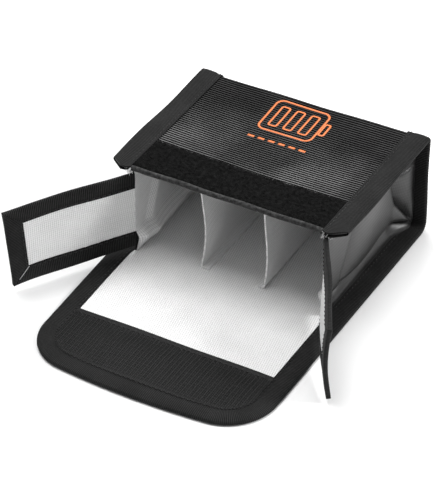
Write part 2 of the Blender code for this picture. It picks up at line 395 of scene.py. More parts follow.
def cloth_sheet(name, points, cloth, material, thickness, smooth=0):
    """A layer of cloth over a grid of points (rows, columns, 3), with its flat places (rows, columns, 2)."""
    rows, columns = points.shape[:2]
    faces = grid_faces(rows, columns)
    obj = finish_mesh(name, points.reshape(-1, 3), faces, cloth.reshape(-1, 2), material)
    if smooth:
        subdivide = obj.modifiers.new("smooth", "SUBSURF")
        subdivide.levels = subdivide.render_levels = smooth
        subdivide.boundary_smooth = "PRESERVE_CORNERS"
    solid = obj.modifiers.new("thickness", "SOLIDIFY")
    solid.thickness = thickness
    solid.offset = 0.0
    sharpen_border(obj.data)
    return obj


def sharpen_border(mesh):
    """Marks the border edges sharp, so that shading doesn't run round the rim of the cloth."""
    loops = np.zeros(len(mesh.loops), int)
    mesh.loops.foreach_get("edge_index", loops)
    uses = np.bincount(loops, minlength=len(mesh.edges))
    sharp = mesh.attributes.new("sharp_edge", "BOOLEAN", "EDGE")
    sharp.data.foreach_set("value", (uses == 1).tolist())


def declare_sheet(obj):
    """Reads the flat place of each point from this cloth's attribute, and does nothing more with it."""
    flat = np.zeros(len(obj.data.vertices) * 3, np.float32)
    obj.data.attributes["cloth"].data.foreach_get("vector", flat)
    flat = flat.reshape(-1, 3)


def steps(start, end, spacing):
    """Even steps from start to end, about spacing apart."""
    return np.linspace(start, end, max(2, int(round(abs(end - start) / spacing)) + 1))


def swept_rows(length, pitch=RIB):
    """Places along a ribbed tape, two to a rib, and 0 or 1 for the furrow or the crest of each."""
    count = 2 * int(round(length / pitch)) + 1
    return np.linspace(0, length, count), np.arange(count) % 2


def tape_section(width, inner_start, fold=TAPE_FOLD):
    """The section of a tape folded round an edge: (distance in from the edge, depth, distance along the tape)."""
    radius = fold / 2 - TAPE / 2
    section = []
    for share in (1.0, 0.93, 0.80, 0.55, 0.3):
        section.append((radius + share * (width - radius), TAPE / 2))
    for turn in np.linspace(0, pi, 7):
        section.append((radius - radius * sin(turn), fold / 2 - radius * cos(turn)))
    for share in (0.3, 0.6, 0.88, 1.0):
        section.append((radius + share * (width - inner_start - radius), fold - TAPE / 2))
    section = np.array(section)
    hops = np.hypot(*np.diff(section, axis=0).T)
    return np.column_stack([section, np.concatenate([[0], np.cumsum(hops)])])


def puffed(section, width, amount=0.00035):
    """How far each point of a tape's section stands proud between its edge and its stitches."""
    share = np.clip(section[:, 0] / width, 0, 1)
    swell = amount * np.sin(pi * np.clip(share / 0.86, 0, 1)) - 0.00025 * np.exp(-(((share - 0.86) / 0.05) ** 2))
    return swell


def stitch_row(name, place, start, end, material, radius=0.00029, pitch=STITCH_PITCH):
    """A row of stitches. place(s) gives a point on the seam and the direction out of the cloth there."""
    sides, rings = 6, 5
    long = pitch * 0.72
    points, faces = [], []
    count = max(1, int((end - start) / pitch))
    for i in range(count):
        middle = start + (i + 0.5) * pitch
        base = len(points)
        for ring in range(rings):
            share = ring / (rings - 1)
            s = middle + (share - 0.5) * long
            centre, out = place(s)
            ahead, _ = place(s + 1e-4)
            forward = np.array(ahead) - np.array(centre)
            forward = forward / np.linalg.norm(forward)
            out = np.array(out) / np.linalg.norm(out)
            side = np.cross(forward, out)
            girth = radius * (0.35 + 0.65 * sin(pi * (0.12 + 0.76 * share)))
            lift = radius * (-0.9 + 1.5 * sin(pi * share))
            for k in range(sides):
                turn = 2 * pi * k / sides
                points.append(np.array(centre) + out * (lift + girth * cos(turn)) + side * girth * sin(turn))
        ring_faces = grid_faces(rings, sides, closed=True) + base
        faces.extend(ring_faces.tolist())
        faces.append([base + k for k in range(sides)][::-1])
        faces.append([base + (rings - 1) * sides + k for k in range(sides)])
    return finish_mesh(name, points, faces, None, material)


def hair_mesh(name, strands, radius, material):
    """Fine fibres as three-sided tubes. strands is a list of point lists of equal length."""
    strands = np.array(strands)
    count, length = strands.shape[:2]
    forward = np.gradient(strands, axis=1)
    forward /= np.linalg.norm(forward, axis=2, keepdims=True) + 1e-12
    reference = np.array([0.31, 0.87, 0.38])
    side = np.cross(forward, reference)
    side /= np.linalg.norm(side, axis=2, keepdims=True) + 1e-12
    third = np.cross(forward, side)
    rings = []
    for k in range(3):
        turn = 2 * pi * k / 3
        rings.append(strands + radius * (side * cos(turn) + third * sin(turn)))
    points = np.stack(rings, axis=2)
    one = grid_faces(length, 3, closed=True)
    faces = (one[None] + (np.arange(count) * length * 3)[:, None, None]).reshape(-1, 4)
    points = points.reshape(-1, 3)
    return finish_mesh(name, points, faces, points[:, :2], material)


# ---------------------------------------------------------------- the body's side view


def wrap_at(s):
    """Side view of the outer face at a length s from the fold: (y, z) and the direction into the bag.

    The cloth runs back along the floor, up the rear and forward along the top. A negative s is on the open lid.
    """
    s = np.asarray(s, float)
    floor, turn_low = DEPTH - LOW_RADIUS, LOW_RADIUS * pi / 2
    rear, turn_high = HEIGHT - LOW_RADIUS - HIGH_RADIUS, HIGH_RADIUS * pi / 2
    marks = np.cumsum([floor, turn_low, rear, turn_high])
    low_turn = np.clip(s - marks[0], 0, turn_low) / LOW_RADIUS
    high_turn = np.clip(s - marks[2], 0, turn_high) / HIGH_RADIUS
    angle = low_turn + high_turn
    y = np.minimum(s, floor) + LOW_RADIUS * np.sin(low_turn)
    y = y - HIGH_RADIUS * (1 - np.cos(high_turn)) - np.maximum(s - marks[3], 0)
    z = LOW_RADIUS * (1 - np.cos(low_turn)) + np.clip(s - marks[1], 0, rear)
    z = z + HIGH_RADIUS * np.sin(high_turn)
    return y, z, -np.sin(angle), np.cos(angle)


WRAP_LENGTH = 2 * DEPTH + HEIGHT + (pi / 2 - 2) * (LOW_RADIUS + HIGH_RADIUS)


def settle(points):
    """Lets the cloth of the body sag and ripple a little. Every layer uses it, so the layers stay together."""
    x, y, z = (points[..., i] for i in range(3))
    up = np.clip(z / HEIGHT, 0, 1) ** 3
    inside = np.clip(1 - (x / SEAM_X) ** 2, 0, 1)
    lengthwise = np.sin(pi * np.clip(y / DEPTH, 0, 1))
    drop = up * inside * lengthwise * 0.0011
    drop = drop + up * inside * 0.00025 * np.sin(x / 0.0094 + 0.7) * np.sin(y / 0.013)
    fin = np.clip((np.abs(x) - SEAM_X) / SEAM_WIDTH, 0, 1)
    ripple = fin * up * 0.0006 * np.sin(y / 0.0105 + np.sign(x) * 1.3)
    front_end = np.clip(1 - y / 0.022, 0, 1) ** 2 * np.clip((z / HEIGHT - 0.8) / 0.1, 0, 1)
    cut = np.interp(HALF - np.abs(x), (0, 0.0085, SEAM_WIDTH, 0.016), (0.0042, -0.0028, -0.0004, 0.0))
    push = front_end * cut + fin * np.clip(y / DEPTH, 0, 1) ** 8 * 0.0005 * np.sin(z / 0.008)
    moved = points.copy()
    hollow = np.clip(y / DEPTH, 0, 1) ** 6 * inside * np.sin(pi * np.clip(z / HEIGHT, 0, 1)) * 0.0012
    moved[..., 1] += push - hollow
    lift = up * np.clip(y / DEPTH, 0, 1) ** 4 * (0.0013 + 0.0008 * x / HALF)
    moved[..., 2] += ripple - drop + lift
    return moved


def lid_ripple(points):
    """The open lid lies almost flat, with a slow ripple that fades out at its folds and its edge."""
    x, y = points[..., 0], points[..., 1]
    free = np.clip(-y / 0.02, 0, 1) * np.clip(1 - (x / HALF) ** 4, 0, 1)
    fold = np.clip(np.abs(y + TIP_FOLD) / 0.008, 0, 1) * np.clip((LID_LENGTH + y) / 0.012, 0, 1)
    lift = 0.00045 + 0.0003 * np.sin(x / 0.011 + y / 0.02) + 0.00015 * np.sin(y / 0.006)
    moved = points.copy()
    moved[..., 0] += 0.0026 * np.clip(-y / 0.07, 0, 1) * np.clip(-x / HALF, 0, 1)
    moved[..., 2] += free * fold * lift
    return moved


def wrapped_sheet(name, xs, ss, depth, material, thickness):
    """A layer of the cloth that goes round the body or lies on the open lid."""
    y, z, inward_y, inward_z = wrap_at(ss)
    grid = np.zeros((len(ss), len(xs), 3))
    grid[..., 0] = xs[None, :]
    grid[..., 1] = (y + inward_y * depth)[:, None]
    grid[..., 2] = (z + inward_z * depth)[:, None]
    flat = np.zeros((len(ss), len(xs), 2))
    flat[..., 0] = xs[None, :]
    flat[..., 1] = ss[:, None]
    shaped = np.where(ss[:, None, None] < 0, lid_ripple(grid), settle(grid))
    return cloth_sheet(name, shaped, flat, material, thickness)


# ---------------------------------------------------------------- body


def build_shell_and_lining():
    """The outer cloth and the lining: one piece round the body, and one across the lid's fold."""
    xs = steps(-HALF + 0.0009, HALF - 0.0009, 0.003)
    top_end = WRAP_LENGTH - 0.0016
    body = steps(BODY_SPLIT, top_end, 0.0025)
    shell = wrapped_sheet("shell_body", xs, body, SHELL_DEPTH, COATED, SHELL)
    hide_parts("outer_shell")
    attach(shell, "root")
    declare_sheet(shell)

    inner = steps(-SEAM_X - 0.0002, SEAM_X + 0.0002, 0.003)
    lining = wrapped_sheet("lining_body", inner, body, LINING_DEPTH, WHITE, LINING)
    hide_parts("inner_lining")
    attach(lining, "root")
    declare_sheet(lining)

    fold = steps(LID_SPLIT, BODY_SPLIT, 0.0012)
    for name, depth, cloth, slot, thickness, node in (
        ("shell_fold", SHELL_DEPTH, COATED, "coated_fabric", SHELL, "lid_shell"),
        ("lining_fold", LINING_DEPTH, WHITE, "lining_fabric", LINING, "lid_lining"),
    ):
        sheet = wrapped_sheet(name, xs, fold, depth, cloth, thickness)
        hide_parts(node)
        bend_at_lid(sheet)
        declare_sheet(sheet)


def bend_at_lid(obj):
    """Bakes the object's placement into its mesh, for cloth at the fold between the body and the lid."""
    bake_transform(obj)


def bend_at_tip(obj):
    """Bakes the object's placement into its mesh, for cloth at the fold between the lid and its end."""
    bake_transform(obj)


def edge_tape(name, side, start, end):
    """The tape folded round one side's edge, between two lengths along the side view."""
    rows, crest = swept_rows(end - start)
    section = tape_section(SEAM_WIDTH, SEAM_LAP)
    swell = puffed(section, SEAM_WIDTH)
    y, z, inward_y, inward_z = wrap_at(rows + start)
    rib = np.where(crest == 1, 0.00011, -0.00005)
    front_half = section[:, 1] < TAPE_FOLD / 2
    outwards = np.where(front_half, -1.0, 1.0)
    depth = section[None, :, 1] + outwards[None, :] * (swell[None, :] + rib[:, None])
    at_edge = np.clip(1 - section[:, 0] / 0.001, 0, 1)
    # The tape narrows to the lid's width where it crosses the fold.
    narrow = 1 - np.clip((rows + start) / BODY_SPLIT, 0, 1)
    lid_share = LID_TAPE / np.where(front_half, SEAM_WIDTH, SEAM_WIDTH - SEAM_LAP)
    share = 1 + narrow[:, None] * (lid_share[None, :] - 1)
    out_x = HALF - section[None, :, 0] * share + at_edge[None, :] * rib[:, None]
    grid = np.zeros((len(rows), len(section), 3))
    grid[..., 0] = side * out_x
    grid[..., 1] = y[:, None] + inward_y[:, None] * depth
    grid[..., 2] = z[:, None] + inward_z[:, None] * depth
    flat = np.zeros((len(rows), len(section), 2))
    flat[..., 0] = np.arange(len(rows))[:, None] * RIB / 2
    flat[..., 1] = section[None, :, 2]
    shaped = np.where((rows + start)[:, None, None] < 0, lid_ripple(grid), settle(grid))
    shaped[..., 2] = np.maximum(shaped[..., 2], TAPE / 2)
    return cloth_sheet(name, shaped, flat, TAPE_BLACK, TAPE)


def build_edges():
    """Both side edges: the ribbed tape round the body, the tape across the lid's fold, and their stitches."""
    for name, side in SIDES:
        tape = edge_tape(f"{name}_edge_tape", side, BODY_SPLIT, WRAP_LENGTH - 0.0012)
        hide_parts(f"{name}_edge_binding")
        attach(tape, "root")
        fold = edge_tape(f"{name}_fold_tape", side, LID_SPLIT, BODY_SPLIT)
        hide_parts(f"lid_{name}_binding")
        bend_at_lid(fold)

        def outside(s, side=side):
            y, z, ny, nz = (float(v) for v in wrap_at(s))
            point = settle(np.array([side * (SEAM_X + 0.0016), y, z]))
            return point, (0, -ny, -nz)

        def inside(s, side=side):
            y, z, ny, nz = (float(v) for v in wrap_at(s))
            point = np.array([side * (SEAM_X + 0.0028), y + ny * TAPE_FOLD, z + nz * TAPE_FOLD])
            return settle(point), (0, ny, nz)

        for word, place, start in (("outer", outside, DEPTH), ("inner", inside, 0.012)):
            row = stitch_row(
                f"{name}_{word}_stitches", place, start, WRAP_LENGTH - 0.004, BLACK_THREAD
            )
            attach(row, "root")


def crease(y, z, route, width, deep):
    """A fold line along a route of (y, z) points: a steep drop on its left, and a slow rise on its right."""
    nearest = np.full(np.shape(y), 1.0)
    drop = np.zeros(np.shape(y))
    for (y0, z0), (y1, z1) in zip(route, route[1:]):
        run_y, run_z = y1 - y0, z1 - z0
        t = np.clip(((y - y0) * run_y + (z - z0) * run_z) / (run_y**2 + run_z**2), 0, 1)
        gap = np.hypot(y - y0 - t * run_y, z - z0 - t * run_z)
        on_left = run_y * (z - z0) - run_z * (y - y0) > 0
        depth = deep * np.exp(-gap / np.where(on_left, CREASE_LIP, width))
        drop = np.where(gap < nearest, depth, drop)
        nearest = np.minimum(nearest, gap)
    return drop


def wall_dent(y, z, side):
    """How far a side wall is pushed into the bag at (y, z)."""
    back = DEPTH - 0.0021
    low = [(WALL_FRONT, 0.0115), (0.040, 0.0110), (0.066, 0.0125), (0.078, 0.0130), (0.088, 0.0095), (back, 0.004)]
    rear = [(back, 0.004), (0.093, 0.012), (0.084, 0.025), (0.077, 0.043)]
    front = [(0.018, 0.012), (0.024, 0.027), (0.031, 0.041), (0.035, 0.054)]
    high = [(back, 0.044), (0.088, 0.041), (0.082, 0.043)]
    dent = np.maximum(crease(y, z, low, 0.0050, 0.0058), crease(y, z, rear, 0.0060, 0.0068))
    dent = dent + crease(y, z, front, 0.0060, 0.0020)
    dent = dent + crease(y, z, high, 0.0030, 0.0018)
    dent = dent + 0.0005 * np.sin(y / 0.011 + side) * np.sin(z / 0.014)
    bulge = 0.0020 * np.sin(pi * np.clip(y / back, 0, 1)) * np.sin(pi * np.clip(z / HEIGHT, 0, 1))
    return dent - bulge


def widened(field, reach):
    """A grid whose bumps are made wider by reach cells and smoothed, and are nowhere lower than before."""
    rows, columns = field.shape
    shifts = [(i, j) for i in range(2 * reach + 1) for j in range(2 * reach + 1)]
    for combine in (np.max, np.mean):
        padded = np.pad(field, reach, mode="edge")
        field = combine([padded[i : i + rows, j : j + columns] for i, j in shifts], axis=0)
    return field


def wall_grid(side, inset, depth):
    """Points of a side wall, with its edge tucked between the layers of the seam. depth is into the bag.

    A lining lies behind its wall, so its creases are wider. It still touches the wall along the low crease.
    """
    ys = steps(WALL_FRONT, DEPTH - inset, WALL_SPACING)
    rows = steps(inset, HEIGHT - inset, WALL_SPACING)
    y, z = np.meshgrid(ys, rows, indexing="ij")
    # Round the rear corners as the seam does.
    for sign, radius in ((-1, LOW_RADIUS), (1, HIGH_RADIUS)):
        centre_y = DEPTH - radius
        centre_z = HEIGHT - radius if sign > 0 else radius
        along, up = y - centre_y, (z - centre_z) * sign
        beyond = (along > 0) & (up > 0)
        scale = np.where(beyond, np.maximum(along, up) / np.maximum(np.hypot(along, up), 1e-9), 1.0)
        y = np.where(beyond, centre_y + along * scale, y)
        z = np.where(beyond, centre_z + up * scale * sign, z)
    edge = np.minimum(np.minimum(z - inset, HEIGHT - inset - z), DEPTH - inset - y)
    free = np.clip(np.minimum(edge, y - WALL_FRONT) / 0.006, 0, 1)
    free = free * free * (3 - 2 * free)
    rear = np.clip((y - 0.080) / 0.016, 0, 1)
    spread = 0.0045 * rear * rear * (3 - 2 * rear)
    dent = free * wall_dent(y, z, side)
    if depth > 0:
        dent = widened(dent, LINING_REACH)
    x = side * (GUSSET_X + 0.0002 - depth + spread - dent)
    grid = np.stack([x, y, z], axis=-1)
    return grid, np.stack([y, z], axis=-1)


def build_walls():
    """The creased side walls and their white lining."""
    for name, side in SIDES:
        grid, flat = wall_grid(side, 0.0021, 0.0)
        wall = cloth_sheet(f"{name}_wall", grid, flat, WALL, SHELL)
        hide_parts(f"{name}_gusset")
        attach(wall, "root")
        declare_sheet(wall)
        grid, flat = wall_grid(side, 0.0023, 0.0009)
        lining = cloth_sheet(f"{name}_wall_lining", grid, flat, WHITE, LINING)
        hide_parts(f"{name}_gusset_lining")
        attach(lining, "root")
        declare_sheet(lining)


def build_dividers():
    """Two soft white walls, hemmed to the floor and the roof, with a rolled front edge."""
    for name, side in SIDES:
        low, high = LINING_DEPTH + LINING / 2, HEIGHT - LINING_DEPTH - LINING / 2
        ys = steps(DIVIDER_FRONT, DIVIDER_REAR, 0.003)
        up = np.concatenate([np.full(3, 0.0), np.linspace(0.02, 0.98, 22), np.full(3, 1.0)])
        hem = np.concatenate([[-0.005, -0.0025, -0.0006], np.zeros(22), [0.0006, 0.0025, 0.005]])
        y, share = np.meshgrid(ys, up, indexing="ij")
        _, shift = np.meshgrid(ys, hem, indexing="ij")
        sway = 0.0016 * np.sin(pi * share) * np.cos(y / 0.017 + side * 0.8)
        sway = sway + 0.0009 * np.sin(2 * pi * share) * np.sin(y / 0.012)
        x = side * (DIVIDER_X + shift) + sway
        front = 1 - np.clip((y - DIVIDER_FRONT) / 0.012, 0, 1)
        y = y + front * 0.0022 * np.sin(pi * share)
        z = low + 0.0006 + share * (high - low - 0.0012)
        grid = settle(np.stack([x, y, z], axis=-1))
        flat = np.stack([y, share * (high - low) + shift], axis=-1)
        divider = cloth_sheet(f"{name}_divider_cloth", grid, flat, WHITE, 0.0009, smooth=1)
        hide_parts(f"{name}_divider")
        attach(divider, "root")
        declare_sheet(divider)


def build_mouth():
    """The narrow hem along the front edge of the top, and the fuzzy loop strip behind it."""
    xs = steps(-SEAM_X + 0.0003, SEAM_X - 0.0003, 0.0022)
    hem_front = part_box("mouth_hem")[0][1]
    section = []
    radius = 0.0013
    for turn in np.linspace(0, pi, 9):
        section.append((hem_front + radius - radius * sin(turn), HEIGHT - 0.0003 - radius + radius * cos(turn)))
    section = [(LOOP_FRONT - 0.0001, HEIGHT - 0.0004)] + section + [(0.0042, section[-1][1] + 0.0001)]
    section = np.array(section)
    grid = np.zeros((len(xs), len(section), 3))
    grid[..., 0] = xs[:, None]
    grid[..., 1] = section[None, :, 0] + 0.00025 * np.sin(xs / 0.006)[:, None]
    grid[..., 2] = section[None, :, 1]
    flat = np.zeros((len(xs), len(section), 2))
    flat[..., 0] = xs[:, None]
    flat[..., 1] = (np.arange(len(section)) * 0.0005)[None, :]
    hem = cloth_sheet("mouth_hem_tape", settle(grid), flat, HEM, TAPE)
    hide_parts("mouth_hem")
    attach(hem, "root")

    loop_y = steps(LOOP_FRONT, LOOP_REAR, 0.0011)
    loop_x = steps(-SEAM_X + 0.0004, SEAM_X - 0.0004, 0.0014)
    x, y = np.meshgrid(loop_x, loop_y, indexing="ij")
    rng = np.random.default_rng(7)
    lumps = rng.normal(0, 0.00010, x.shape)
    edge = np.minimum(np.minimum(y - LOOP_FRONT, LOOP_REAR - y), SEAM_X - np.abs(x))
    z = LOOP_TOP - 0.0006 - 0.0004 * np.exp(-edge / 0.0006) + lumps
    grid = settle(np.stack([x, y, z], axis=-1))
    strip = cloth_sheet("loop_strip_pile", grid, np.stack([x, y], axis=-1), LOOP, 0.0005)
    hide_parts("loop_strip")
    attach(strip, "root")

    strands = []
    for _ in range(5200):
        root_x = rng.uniform(-SEAM_X + 0.0007, SEAM_X - 0.0007)
        root_y = rng.uniform(LOOP_FRONT + 0.0002, LOOP_REAR - 0.0002)
        heading = rng.uniform(0, 2 * pi)
        reach, tall = rng.uniform(0.0005, 0.0014), rng.uniform(0.0003, 0.0008)
        twist = rng.uniform(-1.2, 1.2)
        strand = []
        for share in np.linspace(0, 1, 5):
            bent = heading + twist * share
            far = reach * share
            strand.append(
                (
                    root_x + far * cos(bent),
                    root_y + far * sin(bent),
                    LOOP_TOP - 0.0005 + tall * sin(pi * share),
                )
            )
        strands.append(strand)
    strands = settle(np.array(strands))
    fuzz = hair_mesh("loop_strip_fuzz", strands, 0.00006, FUZZ)
    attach(fuzz, "root")


# ---------------------------------------------------------------- lid


FRONT_RADIUS = ((HALF - CORNER_RADIUS) ** 2 + LID_BOW**2) / (2 * LID_BOW)
CORNER_X = HALF - CORNER_RADIUS
FRONT_TURN = asin(CORNER_X / (FRONT_RADIUS - CORNER_RADIUS))
CORNER_Y = -LID_LENGTH + FRONT_RADIUS - sqrt((FRONT_RADIUS - CORNER_RADIUS) ** 2 - CORNER_X**2)
CORNER_TURN = pi / 2 - FRONT_TURN


def lid_edge(s, start):
    """Plan view of the lid's edge at lengths s, from y = start on the left, round the front, to the right.

    Returns x, y and the direction into the lid. The front is one slack arc that meets both corners smoothly.
    """
    s = np.asarray(s, float)
    side = start - CORNER_Y
    corner = CORNER_RADIUS * CORNER_TURN
    half = side + corner + FRONT_RADIUS * FRONT_TURN
    mirrored = s > half
    s = np.where(mirrored, 2 * half - s, s)
    turned = np.clip(s - side, 0, corner) / CORNER_RADIUS
    swept = np.maximum(s - side - corner, 0) / FRONT_RADIUS
    angle = turned + swept
    on_front = s > side + corner
    x = np.where(on_front, -FRONT_RADIUS * np.sin(pi / 2 - angle), -CORNER_X - CORNER_RADIUS * np.cos(turned))
    y = np.where(
        on_front,
        -LID_LENGTH + FRONT_RADIUS - FRONT_RADIUS * np.cos(pi / 2 - angle),
        np.maximum(start - s, CORNER_Y) - CORNER_RADIUS * np.sin(turned),
    )
    inward_x, inward_y = np.cos(angle), np.sin(angle)
    flip = np.where(mirrored, -1.0, 1.0)
    return x * flip, y, inward_x * flip, inward_y


def lid_edge_length(start):
    return 2 * (start - CORNER_Y + CORNER_RADIUS * CORNER_TURN + FRONT_RADIUS * FRONT_TURN)


def lid_cloth(name, depth, inset, material, thickness):
    """A layer of the lid's end: rows across it, narrower where the corners round off."""
    half = lid_edge_length(LID_SPLIT) / 2
    side = LID_SPLIT - CORNER_Y
    corner = CORNER_RADIUS * CORNER_TURN
    lengths = np.concatenate([steps(0, side, 0.0012), side + steps(0, corner, 0.0012)[1:]])
    lengths = np.concatenate([lengths, side + corner + steps(0, half - side - corner - 0.004, 0.006)[1:]])
    x, y, nx, ny = lid_edge(lengths, LID_SPLIT)
    x, y = x + nx * inset, y + ny * inset
    across = np.linspace(-1, 1, 61)
    grid = np.zeros((len(x), len(across), 3))
    grid[..., 0] = -x[:, None] * across[None, :]
    grid[..., 1] = y[:, None]
    grid[..., 2] = depth
    flat = grid[..., :2].copy()
    return cloth_sheet(name, lid_ripple(grid), flat, material, thickness)


def build_lid_end():
    """The lid from its middle to its rounded front."""
    shell = lid_cloth("shell_tip", SHELL_DEPTH, 0.0009, COATED, SHELL)
    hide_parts("lid_tip_shell")
    lining = lid_cloth("lining_tip", LINING_DEPTH, 0.0009, WHITE, LINING)
    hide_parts("lid_tip_lining")
    for sheet in (shell, lining):
        bend_at_tip(sheet)
        declare_sheet(sheet)

    length = lid_edge_length(LID_SPLIT)
    rows, crest = swept_rows(length)
    section = tape_section(LID_TAPE, 0.0)
    swell = puffed(section, LID_TAPE)
    x, y, nx, ny = lid_edge(rows, LID_SPLIT)
    rib = np.where(crest == 1, 0.00012, -0.00005)
    outwards = np.where(section[:, 1] < TAPE_FOLD / 2, -1.0, 1.0)
    at_edge = np.clip(1 - section[:, 0] / 0.001, 0, 1)
    inset = section[None, :, 0] - at_edge[None, :] * rib[:, None]
    grid = np.zeros((len(rows), len(section), 3))
    grid[..., 0] = x[:, None] + nx[:, None] * inset
    grid[..., 1] = y[:, None] + ny[:, None] * inset
    grid[..., 2] = section[None, :, 1] + outwards[None, :] * (swell[None, :] + rib[:, None])
    grid[..., 2] = np.maximum(grid[..., 2], TAPE / 2)
    flat = np.zeros((len(rows), len(section), 2))
    flat[..., 0] = np.arange(len(rows))[:, None] * RIB / 2
    flat[..., 1] = section[None, :, 2]
    tape = cloth_sheet("lid_edge_tape", lid_ripple(grid), flat, TAPE_BLACK, TAPE)
    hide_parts("lid_tip_binding")
    bend_at_tip(tape)

    def on_tape(s):
        px, py, qx, qy = (float(v) for v in lid_edge(s, LID_SPLIT))
        point = np.array([px + qx * (LID_TAPE - 0.0013), py + qy * (LID_TAPE - 0.0013), TAPE_FOLD + 0.0001])
        return lid_ripple(point), (0, 0, 1)

    stitches = stitch_row("lid_stitches", on_tape, 0.001, length - 0.001, BLACK_THREAD)
    bend_at_tip(stitches)


def build_fold_stitches():
    """The stitches along the lid's side tapes, across the first fold."""
    for name, side in SIDES:

        def on_tape(s, side=side):
            return np.array([side * (HALF - LID_TAPE + 0.0013), -s, TAPE_FOLD + 0.0001]), (0, 0, 1)

        row = stitch_row(f"{name}_lid_stitches", on_tape, -0.004, -LID_SPLIT, BLACK_THREAD)
        bend_at_lid(row)


def hook_limit(x):
    """The front edge (y) of the hook strip at x, inside the lid's binding."""
    inset = LID_TAPE - 0.0008
    corner = CORNER_RADIUS - inset
    past = np.clip(np.abs(x) - CORNER_X, 0, corner)
    straight = -LID_LENGTH + inset + LID_BOW * np.clip(np.abs(x) / CORNER_X, 0, 1) ** 2
    round_y = CORNER_Y - np.sqrt(np.maximum(corner**2 - past**2, 0))
    return np.where(np.abs(x) > CORNER_X, round_y, straight)


def build_hooks():
    """The hook strip: a woven base with a selvedge, and rows of small bent hooks."""
    edge_x = HALF - LID_TAPE + 0.0006
    xs = steps(-edge_x, edge_x, HOOK_COLUMN / 4)
    shares = np.linspace(0, 1, 48)
    rear = -HOOK_START
    front = hook_limit(xs)
    y = rear + (front - rear)[:, None] * shares[None, :]
    x = np.broadcast_to(xs[:, None], y.shape)
    column = 0.00010 * np.cos(2 * pi * x / HOOK_COLUMN)
    behind = rear - y
    selvedge = 0.00022 * np.exp(-(((behind - 0.0016) / 0.0004) ** 2))
    z = TAPE_FOLD - 0.0001 + column * np.clip((behind - 0.003) / 0.001, 0, 1) + selvedge
    grid = lid_ripple(np.stack([x, y, z], axis=-1))
    base = cloth_sheet("hook_strip_base", grid, np.stack([x, y], axis=-1), HOOK_BASE, 0.0005)
    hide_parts("hook_strip", "hook_strip_lower")
    bend_at_tip(base)

    rng = np.random.default_rng(3)
    strands = []
    for hook_x in np.arange(-edge_x + 0.0009, edge_x - 0.0005, HOOK_COLUMN):
        limit = float(hook_limit(np.array(hook_x))) + 0.0012
        for hook_y in np.arange(rear - 0.0042, limit, -0.0016):
            lean = 1 if (round(hook_x / HOOK_COLUMN) % 2) else -1
            jx, jy = rng.normal(0, 0.00008, 2)
            tall = rng.uniform(0.00065, 0.00085)
            strand = []
            for turn in np.linspace(0, 1, 5):
                strand.append(
                    (
                        hook_x + jx + lean * 0.00028 * (1 - cos(pi * turn)),
                        hook_y + jy + 0.00012 * turn,
                        TAPE_FOLD + tall * sin(pi * 0.78 * turn),
                    )
                )
            strands.append(strand)
    strands = lid_ripple(np.array(strands))
    hooks = hair_mesh("hook_strip_hooks", strands, 0.00009, HOOK)
    bend_at_tip(hooks)

    def selvedge_row(s):
        return lid_ripple(np.array([s, rear - 0.0030, TAPE_FOLD + 0.00016])), (0, 0, 1)

    end = edge_x - 0.001
    row = stitch_row("hook_strip_stitches", selvedge_row, -end, end, BLACK_THREAD)
    bend_at_tip(row)


# ---------------------------------------------------------------- side flaps


class Flap:
    """A side flap as a curved surface. u runs along it and v up it, from 0 to 1. n is towards its outer side."""

    def __init__(self, side, root, far_low, far_high, bow, belly, low_bow, end_bow):
        self.side = side
        self.root_low = np.array([side * FLAP_AXIS_X, FLAP_AXIS_Y, root[0]])
        self.root_high = np.array([side * FLAP_AXIS_X, FLAP_AXIS_Y, root[1]])
        self.far_low = np.array(far_low)
        self.far_high = np.array(far_high)
        self.bow, self.belly, self.low_bow, self.end_bow = bow, belly, low_bow, end_bow
        self.length = float(np.linalg.norm((self.far_high + self.far_low - self.root_low - self.root_high) / 2))
        self.height = FLAP_HIGH - FLAP_LOW
        self.skew = 1.7 if side < 0 else 1.0

    def middle(self, u, v):
        u, v = np.asarray(u, float)[..., None], np.asarray(v, float)[..., None]
        low = self.root_low + (self.far_low - self.root_low) * u
        high = self.root_high + (self.far_high - self.root_high) * u
        point = low + (high - low) * v
        run = (self.far_high + self.far_low) / 2 - (self.root_high + self.root_low) / 2
        out = np.array([abs(run[1]) * self.side, abs(run[0]), 0.0])
        out = out / np.linalg.norm(out)
        bend = np.sin(pi * np.clip(u, 0, 1) ** self.skew) * (self.bow * v + self.low_bow * (1 - v))
        bend = bend + self.belly * np.sin(pi * v) * np.sin(pi * u)
        bend = bend + 0.0003 * np.sin(9 * u + 4 * v) * np.sin(pi * u)
        bend = bend + self.end_bow * np.clip(u, 0, 1.1) ** 2 * np.sin(pi * v)
        return point + out * bend

    def at(self, u, v, n):
        """Points at u, v and a distance n off the middle of the flap."""
        e = 1e-3
        along = self.middle(np.asarray(u) + e, v) - self.middle(np.asarray(u) - e, v)
        upward = self.middle(u, np.asarray(v) + e) - self.middle(u, np.asarray(v) - e)
        normal = np.cross(along, upward) * self.side
        normal = normal / np.linalg.norm(normal, axis=-1, keepdims=True)
        # Towards the outer side: away from the mouth.
        return self.middle(u, v) - normal * np.asarray(n)[..., None]


def flap_sheet(flap, name, n, inset, material, thickness):
    us = np.linspace(0.0, 1 - inset / flap.length, 40)
    vs = np.linspace(inset / flap.height, 1 - inset / flap.height, 26)
    u, v = np.meshgrid(us, vs, indexing="ij")
    wrinkle = np.zeros_like(u)
    if thickness == LINING:
        fade = np.exp(-(((u - 0.30) / 0.22) ** 2)) * np.exp(-(((v - 0.30) / 0.28) ** 2))
        wrinkle = 0.00034 * np.sin((u * flap.length + v * flap.height * 0.9) / 0.0011) * fade
    grid = flap.at(u, v, np.full_like(u, n) + wrinkle)
    # The 0.2 added along the cloth puts the flaps' outer cloth in the brightest part of the coated cloth's painted
    # sheen.
    flat = np.stack([u * flap.length, v * flap.height + 0.2], axis=-1)
    return cloth_sheet(name, grid, flat, material, thickness)


